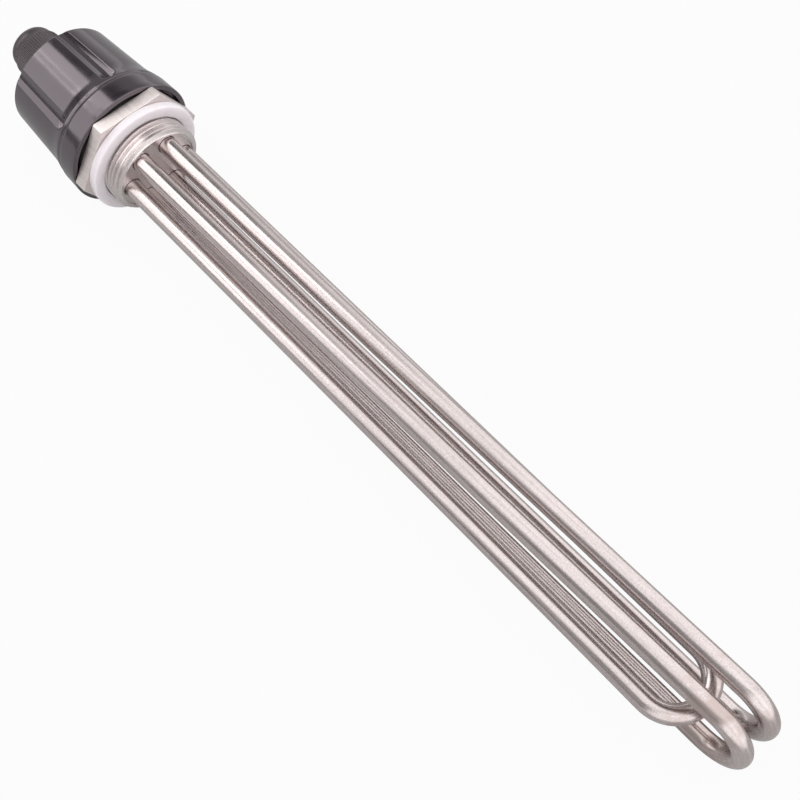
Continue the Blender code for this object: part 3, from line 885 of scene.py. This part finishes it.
@dataclass
class TubeLoop:
    """One heating tube: two legs that spread slowly and the half turn that joins them."""

    node: str
    name: str
    start_angles: Point
    tips: tuple[Point, Point]
    tip_x: float
    radius: float = 0.0040
    leg_circle: float = 0.01335
    bend_radius: float = 0.0144
    back: float = -0.0140
    plate: float = 0.0128
    sides: int = 40
    leg_spans: int = 30
    bend_spans: int = 40
    draw: float = 0.012

    def leg(self, angle: float, end: Point) -> list[Vector]:
        """Return the centre line of one leg.

        Args:
            angle: place of the leg on the plate's hole circle.
            end: y and z where the leg meets the bend.

        Returns:
            Points from the tube's end to the bend.
        """
        _, y, z = on_axis(0.0, self.leg_circle, angle)
        bend_x = self.tip_x - self.radius - self.bend_radius
        points = [Vector((self.back, y, z)), Vector((0.0, y, z)), Vector((self.plate, y, z))]
        for i in range(1, self.leg_spans + 1):
            share = i / self.leg_spans
            # Half of the spread is even along the leg, and half grows toward the bend.
            eased = 0.5 * share + 0.5 * share * share
            x = self.plate + (bend_x - self.plate) * share
            points.append(Vector((x, y + (end[0] - y) * eased, z + (end[1] - z) * eased)))
        return points

    def route(self) -> list[Vector]:
        """Join both legs by the bend.

        Returns:
            The centre line of the whole tube.
        """
        first = self.leg(self.start_angles[0], self.tips[0])
        second = self.leg(self.start_angles[1], self.tips[1])
        centre = (first[-1] + second[-1]) / 2
        arm = first[-1] - centre
        bend = []
        for i in range(1, self.bend_spans):
            turn = math.pi * i / self.bend_spans
            ahead = Vector((self.bend_radius * math.sin(turn), 0.0, 0.0))
            bend.append(centre + arm * math.cos(turn) + ahead)
        return first + bend + list(reversed(second))

    def build(self, finishes: Finishes) -> None:
        """Build and dress the tube.

        Args:
            finishes: the heater's materials.
        """
        route = self.route()
        arm = (route[0] - route[-1]).normalized()
        reference = Vector((1.0, 0.0, 0.0)).cross(arm)
        turns = full_turn(self.sides)
        rows = []
        for i, point in enumerate(route):
            along = (route[min(i + 1, len(route) - 1)] - route[max(i - 1, 0)]).normalized()
            across = (reference - along * reference.dot(along)).normalized()
            other = along.cross(across)
            ring = [across * math.cos(t) + other * math.sin(t) for t in turns]
            rows.append([tuple(point + out * self.radius) for out in ring])
        shell = Shell()
        shell.grid(np.array(rows))
        shell.disc(rows[0])
        shell.disc(list(reversed(rows[-1])))
        steps = [(b - a).length for a, b in zip(route, route[1:])]
        along = np.concatenate([[0.0], np.cumsum(steps)]) * self.draw
        # The marks of drawing are read along the tube as if it were straight.
        lay = round_axis(along[:, None], self.radius, turns)
        shell.lay = np.concatenate([lay.reshape(-1, 3), lay[0], lay[-1][::-1]])
        stand_for(shell.piece(self.name, [finishes.tube]), Body.PLUG, "tube", self.node)


@dataclass
class TerminalCover:
    """Glossy screw-on cover: skirt, ridge, grooved barrel, rear wall and hollow."""

    front: float = -0.0058 - FIT
    skirt: float = 0.0298
    skirt_edge: float = 0.0006
    ridge_x: float = -0.0162
    ridge: float = 0.02935
    flare: Line = ((-0.0202, 0.0285), (-0.0228, 0.02785), (-0.0254, 0.0275))
    rim_x: float = -0.0546
    rim: float = 0.0255
    rim_edge: float = 0.0009
    back: float = -0.0563
    wall: float = 0.0030
    hole: float = 0.0093 + FIT
    skirt_bore: float = 0.0274
    seal_seat: float = -0.0084
    hollow: float = 0.0220
    hollow_fillet: float = 0.0025
    hollow_front: float = -0.0215
    collar: float = 0.0235 + FIT
    grooves: int = 6
    groove_phase: float = 19.8
    groove_half: float = 7.3
    foot_half: float = 2.1
    groove_depth: float = 0.00125
    rear_depth: float = 0.00080
    groove_edge: float = 0.00020
    groove_lip: float = 0.00016
    # Place on the axis and loss of radius of the skirt's taper.
    taper: Line = ((-0.0095, 0.00012), (-0.0130, 0.00028))
    # Steps along the axis and in radius from the top of the ridge into the valley behind it.
    ridge_steps: Line = (
        (0.0009, 0.0001),
        (0.0, 0.0),
        (-0.0003, -0.00012),
        (-0.0006, -0.0004),
        (-0.0012, -0.0008),
        (-0.0018, -0.0008),
        (-0.0025, -0.0005),
    )
    # Distance in front of the back, and radius, of the domed rear wall.
    rear_wall: Line = ((0.0007, 0.01845), (0.0002, 0.0150), (0.0, 0.0130))
    # Distance behind the ridge, share of the groove's width and rise of its floor, toward its front end.
    groove_end: Sequence[Place] = (
        (0.0050, 1.0, 0.0),
        (0.0043, 0.93, 0.0),
        (0.0037, 0.76, 0.00005),
        (0.0034, 0.58, 0.0002),
        (0.0032, 0.38, 0.0006),
        (0.0031, 0.22, 0.0016),
    )

    def surface(self) -> list[Point]:
        """Draw the outside.

        Returns:
            The line from the skirt's front edge to the gland hole.
        """
        edge = self.skirt_edge
        line = [(self.front, self.skirt - edge)]
        line += arc((self.front - edge, self.skirt - edge), edge, 0, 90, 4)[1:]
        line += [(x, self.skirt - loss) for x, loss in self.taper]
        line += [(self.ridge_x + along, self.ridge + out) for along, out in self.ridge_steps]
        rim_x = self.rim_x + self.rim_edge
        rim = self.barrel(rim_x)
        knots = [line[-1], *self.flare, (rim_x, rim)][::-1]
        # The rings lie close together where the grooves end.
        close, wide = np.arange(-0.0189, -0.0216, -0.00015), np.arange(-0.0220, -0.0530, -0.0010)
        line += [(x, read_line(x, knots)) for x in (*close, *wide)]
        line += arc((rim_x, rim - self.rim_edge), self.rim_edge, 90, 90, 6)
        line += [(self.back + ahead, radius) for ahead, radius in self.rear_wall]
        return [*line, (self.back, self.hole)]

    def barrel(self, x: float) -> float:
        """Return the outside radius of the barrel at a place on the axis."""
        return read_line(x, [*self.flare, (self.rim_x, self.rim)][::-1])

    def inside(self) -> list[Point]:
        """Draw the inside.

        Returns:
            The line from the gland hole to the skirt's front edge.
        """
        inner_back = self.back + self.wall
        fillet = self.hollow_fillet
        line = [(inner_back, self.hole)]
        line += arc((inner_back + fillet, self.hollow - fillet), fillet, 180, -90, 6)
        line += [(self.hollow_front - 0.0018, self.hollow), (self.hollow_front, self.collar)]
        line += [(self.seal_seat, self.collar), (self.seal_seat, self.skirt_bore)]
        line += [(self.front - 0.0004, self.skirt_bore), (self.front, self.skirt_bore + 0.0004)]
        return line

    def columns(self) -> np.ndarray:
        """Place the mesh columns, close together across each groove.

        Returns:
            Their angles.
        """
        pitch = 360.0 / self.grooves
        near = np.arange(-9.6, 9.61, 0.4)
        far = np.arange(10.4, pitch - 10.0, 1.3)
        turns = [self.groove_phase + pitch * k + np.concatenate([near, far]) for k in range(self.grooves)]
        return np.radians(np.concatenate(turns))

    def carve(self, x: float, surface: float, turns: np.ndarray) -> np.ndarray:
        """Return the radius of one ring of the outside with the grooves cut in.

        Args:
            x: place on the axis.
            surface: radius of the ring before it is cut.
            turns: angles of the columns.

        Returns:
            The radius at each column.
        """
        behind, widths, lifts = zip(*self.groove_end)
        places = self.ridge_x - np.array(behind)
        if x > places[-1]:
            return np.full(len(turns), surface)
        lift = np.interp(x, places, lifts)
        top = self.barrel(min(x, self.flare[0][0]))
        along = min((x - self.rim_x) / (self.flare[-1][0] - self.rim_x), 1.0)
        rear = self.rim - self.rear_depth
        floor = rear + (self.flare[-1][1] - self.groove_depth - rear) * along + lift
        pitch = 2 * math.pi / self.grooves
        away = (turns - math.radians(self.groove_phase) + pitch / 2) % pitch - pitch / 2
        away = np.degrees(np.abs(away)) / np.interp(x, places, widths)
        half, edge, lip = self.groove_half, self.groove_edge, self.groove_lip
        cut = [(0.0, floor), (self.foot_half, floor), (half * 0.97, top - edge), (half * 1.10, top + edge)]
        cut = read_line(away, [*cut, (half * 1.25, top + 0.0030), (90.0, top + 0.01)])
        # The lower of cut and surface counts, rounded over the lip where they meet.
        share = np.clip(0.5 + 0.5 * (cut - surface) / lip, 0.0, 1.0)
        return cut * (1 - share) + surface * share - lip * share * (1 - share)

    def build(self, finishes: Finishes) -> None:
        """Build and dress the cover.

        Args:
            finishes: the heater's materials.
        """
        turns = self.columns()
        rows = [round_axis(x, self.carve(x, radius, turns), turns) for x, radius in self.surface()]
        rows += [round_axis(x, radius, turns) for x, radius in self.inside()]
        shell = Shell()
        shell.grid(np.array(rows), closed=True)
        cover = shell.piece("cover_moulded", [finishes.gloss], sharp=40.0)
        stand_for(cover, Body.COVER, "cover_plastic", "cover")


@dataclass
class CableGland:
    """Cable gland: ribbed dome nut, hexagon body, seal, insert and locknut."""

    skirt_front: float = -0.0563 - FIT - 0.0011 - FIT - 0.0030 - FIT
    skirt: float = 0.0116
    skirt_back: float = -0.0741
    dome: float = 0.01045
    back: float = -0.0808
    corner: float = 0.0044
    hole: float = 0.0056
    hole_edge: float = 0.0004
    edge: float = 0.0003
    ribs: int = 60
    rib_columns: int = 10
    rib_depth: float = 0.00040
    rib_fade: float = 0.0009
    rib: Line = ((0.0, 1.0), (0.34, 0.92), (0.72, 0.0), (1.0, 0.0))
    bore: float = 0.0088 + FIT
    cone_front: float = -0.0770 - FIT
    cone_back: float = -0.0790 - FIT
    nose: float = 0.0061 + FIT

    def dome_nut(self, finishes: Finishes) -> None:
        """Build the dome nut; its grip ribs fade out at the shoulder.

        Args:
            finishes: the heater's materials.
        """
        low, edge, front, rear = self.skirt - self.rib_depth, self.edge, self.skirt_front, self.skirt_back
        line = [(front, self.bore + edge), (front, low - edge), (front - edge, low)]
        line += [(x, low) for x in np.linspace(front - 2 * edge, rear + 0.0010, 12)]
        line += [(rear + 2 * edge, low), (rear + 0.0002, low - 0.0001)]
        line += [(rear - edge, self.dome + edge), (rear - 0.0008, self.dome)]
        line += arc((self.back + self.corner, self.dome - self.corner), self.corner, 90, 90, 14)
        line += arc((self.back + self.hole_edge, self.hole + self.hole_edge), self.hole_edge, 180, 90, 4)
        line += [(self.cone_back, self.hole), (self.cone_back, self.nose), (self.cone_front, self.bore)]
        turns = full_turn(self.ribs * self.rib_columns)
        rib = self.rib_depth * read_line(off_whole(turns * self.ribs / (2 * math.pi)), self.rib)
        rows = []
        for x, radius in line:
            on_skirt = abs(radius - low) < 0.00012 and x < front - 0.0002
            rise = np.clip((x - rear) / self.rib_fade, 0.0, 1.0) if on_skirt else 0.0
            rows.append(round_axis(x, radius + rise * rib, turns))
        shell = Shell()
        shell.grid(np.array(rows), closed=True)
        dome = shell.piece("gland_dome_nut", [finishes.matt], sharp=50.0)
        stand_for(dome, Body.NUT, "gland_plastic", "gland_nut")

    def build(self, finishes: Finishes) -> None:
        """Build and dress the gland.

        Args:
            finishes: the heater's materials.
        """
        self.dome_nut(finishes)
        for node in ("gland_body", "gland_locknut"):
            dress_node(node, finishes.matt)
        for node in ("gland_ring", "gland_insert"):
            dress_node(node, finishes.rubber)


@dataclass
class TerminalBlock:
    """Studs, beads, nuts, washers and the strip in the chamber under the cover, and the cover's seal."""

    ends: int = 6

    def build(self, finishes: Finishes) -> None:
        """Dress the terminals and the cover's seal.

        Args:
            finishes: the heater's materials.
        """
        for number in range(1, self.ends + 1):
            dress_node(f"end_bead_{number}", finishes.ceramic)
            dress_node(f"terminal_stud_{number}", finishes.stud)
            dress_node(f"lower_nut_{number}", finishes.brass)
            dress_node(f"upper_nut_{number}", finishes.brass)
        flat = ("washer_4", "washer_5", "washer_6", "neutral_strip", "earth_washer")
        for node in (*flat, "earth_lower_nut", "earth_upper_nut"):
            dress_node(node, finishes.brass)
        dress_node("earth_stud", finishes.stud)
        dress_node("cover_seal", finishes.rubber)


# Stage, light and camera


@dataclass
class Lamp:
    """One softbox on the gland's side, aimed at the cover, that spans two angles round the X axis."""

    name: str
    start: float
    end: float
    radiance: float
    behind: float = 37.0
    depth: float = 42.0
    distance: float = 1.0
    target: Place = (-0.03, 0.0, 0.02)

    def build(self) -> None:
        """Place the softbox, with the power that gives its face the stated brightness."""
        back, turn = math.radians(self.behind), math.radians((self.start + self.end) / 2)
        away = Vector((-math.sin(back), math.cos(back) * math.cos(turn), math.cos(back) * math.sin(turn)))
        across = Vector((0.0, -math.sin(turn), math.cos(turn)))
        span = math.radians(abs(self.end - self.start)) * math.cos(back)
        data = bpy.data.lights.new(self.name, "AREA")
        data.shape = "RECTANGLE"
        data.size = 2 * self.distance * math.tan(span / 2)
        data.size_y = 2 * self.distance * math.tan(math.radians(self.depth) / 2)
        data.energy = self.radiance * data.size * data.size_y * math.pi
        item = link_new(self.name, data)
        axes = Matrix((across, away.cross(across), away)).transposed()
        item.matrix_world = Matrix.Translation(Vector(self.target) + away * self.distance) @ axes.to_4x4()
        item.visible_camera = False


@dataclass
class Studio:
    """Pale floor and surround, soft lamps, and the camera at the photograph's angle."""

    floor_height: float = -0.0300
    floor_x: float = -0.0105
    floor_slope: float = math.radians(1.94)
    floor_size: float = 8.0
    floor_grey: float = 0.45
    floor_white: float = 0.945
    floor_mirrored: float = 0.10
    lens: float = 1302 / 800 * 36
    place: Place = (0.3183, -0.1609, 0.4537)
    turn: tuple[Place, Place, Place] = (
        (0.6795, -0.6648, 0.3104),
        (0.7331, 0.5993, -0.3215),
        (0.0277, 0.4460, 0.8946),
    )
    lamps: tuple[Lamp, ...] = (
        Lamp("upper softbox", 82.0, 105.0, 2.35),
        Lamp("middle softbox", 105.0, 120.0, 2.05),
        Lamp("left softbox", 120.0, 168.0, 1.55),
    )

    def floor(self) -> None:
        """Add the floor, tilted so that the heater rests on the cover's skirt and the tube tips."""
        half = self.floor_size / 2
        mesh = bpy.data.meshes.new("floor")
        corners = [(-half, -half, 0.0), (half, -half, 0.0), (half, half, 0.0), (-half, half, 0.0)]
        mesh.from_pydata(corners, [], [(0, 1, 2, 3)])
        item = link_new("floor", mesh)
        item.location = (self.floor_x, 0.0, self.floor_height)
        item.rotation_euler = (0.0, -self.floor_slope, 0.0)
        material = bpy.data.materials.new("pale floor")
        material.use_nodes = True
        wiring = Wiring(material.node_tree, "Object")
        nodes = wiring.nodes
        matt = nodes["Principled BSDF"]
        grey = (self.floor_grey, self.floor_grey, self.floor_grey, 1.0)
        wiring.fill(matt, {"Base Color": grey, "Roughness": 0.9, "Specular IOR Level": 0.1})
        glow = wiring.add("ShaderNodeEmission", {"Color": WHITE, "Strength": 1.0})
        seen = nodes.new("ShaderNodeLightPath").outputs
        direct = wiring.math("MULTIPLY", seen["Is Camera Ray"], self.floor_white)
        mirrored = wiring.math("MAXIMUM", seen["Is Glossy Ray"], seen["Is Transmission Ray"])
        share = wiring.math("MAXIMUM", direct, wiring.math("MULTIPLY", mirrored, self.floor_mirrored))
        blend = wiring.add("ShaderNodeMixShader", {"Fac": share})
        wiring.feed(blend.inputs[1], matt.outputs[0])
        wiring.feed(blend.inputs[2], glow.outputs[0])
        wiring.feed(nodes["Material Output"].inputs["Surface"], blend.outputs[0])
        mesh.materials.append(material)

    def surround(self) -> None:
        """Light the world like a tent that has bright and dark sides."""
        world = bpy.data.worlds.new("soft surround")
        bpy.context.scene.world = world
        world.use_nodes = True
        wiring = Wiring(world.node_tree, "Generated")
        x, y, z = wiring.split()
        # Behind the gland it is brightest near the floor and on the far side, and dark high up.
        low = wiring.spread(z, 1.12, 0.40, start=0.02, end=0.34)
        gap = wiring.spread(z, 1.0, 0.08, start=0.58, end=0.68)
        side = wiring.spread(y, 0.22, 1.0, start=-0.20, end=0.10)
        behind = wiring.math("MULTIPLY", wiring.math("MULTIPLY", low, gap), side)
        # In front it is bright past the tube tips and on the side of +Y, and dim between.
        edge = wiring.math("SUBTRACT", y, wiring.math("MULTIPLY", x, 1.15))
        fade = wiring.spread(x, 1.0, 0.4, start=0.1, end=0.4)
        right = wiring.math("MULTIPLY", wiring.ramp(edge, -0.54, -0.42), fade)
        ahead = wiring.ramp(x, 0.05, 0.35)
        front = wiring.spread(wiring.math("MAXIMUM", right, ahead), 0.28, 1.42, start=0.0, end=1.0)
        over = wiring.math("SUBTRACT", front, behind)
        strength = wiring.math("ADD", behind, wiring.math("MULTIPLY", wiring.ramp(x, -0.50, -0.30), over))
        seen = wiring.nodes.new("ShaderNodeLightPath")
        shown = wiring.math("MAXIMUM", strength, seen.outputs["Is Camera Ray"])
        wiring.fill(wiring.nodes["Background"], {"Strength": shown, "Color": WHITE})

    def camera(self) -> None:
        """Place the camera as fitted to the photograph."""
        data = bpy.data.cameras.new("camera")
        data.sensor_width = 36.0
        data.lens = self.lens
        data.clip_start = 0.01
        item = link_new("camera", data)
        item.matrix_world = Matrix.Translation(self.place) @ Matrix(self.turn).normalized().to_4x4()
        bpy.context.scene.camera = item

    def build(self) -> None:
        """Set up the whole studio."""
        bpy.context.scene.view_settings.view_transform = "Standard"
        self.camera()
        self.floor()
        self.surround()
        for lamp in self.lamps:
            lamp.build()
        LOG.info("studio: %d lamps", len(self.lamps))


def main() -> None:
    """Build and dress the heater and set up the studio."""
    logging.basicConfig(level=logging.INFO, format="%(message)s")
    finishes = Finishes()
    Studio().build()
    HexPlug().build(finishes)
    TankGasket().build(finishes)
    third = math.pi / 3
    bend, circle = TubeLoop.bend_radius, TubeLoop.leg_circle
    # The long loops stand square to the short one, at a y that is a share of the hole circle's radius.
    near, far = -0.304 * circle, 0.767 * circle
    loops = [
        TubeLoop("element_1", "tube_short", (0.0, math.pi), ((bend, 0.0), (-bend, 0.0)), 0.3235),
        TubeLoop("element_2", "tube_near", (2 * third, -2 * third), ((near, bend), (near, -bend)), 0.3445),
        TubeLoop("element_3", "tube_far", (third, -third), ((far, bend), (far, -bend)), 0.3445),
    ]
    for loop in loops:
        loop.build(finishes)
    TerminalCover().build(finishes)
    CableGland().build(finishes)
    TerminalBlock().build(finishes)


if __name__ == "__main__":
    main()
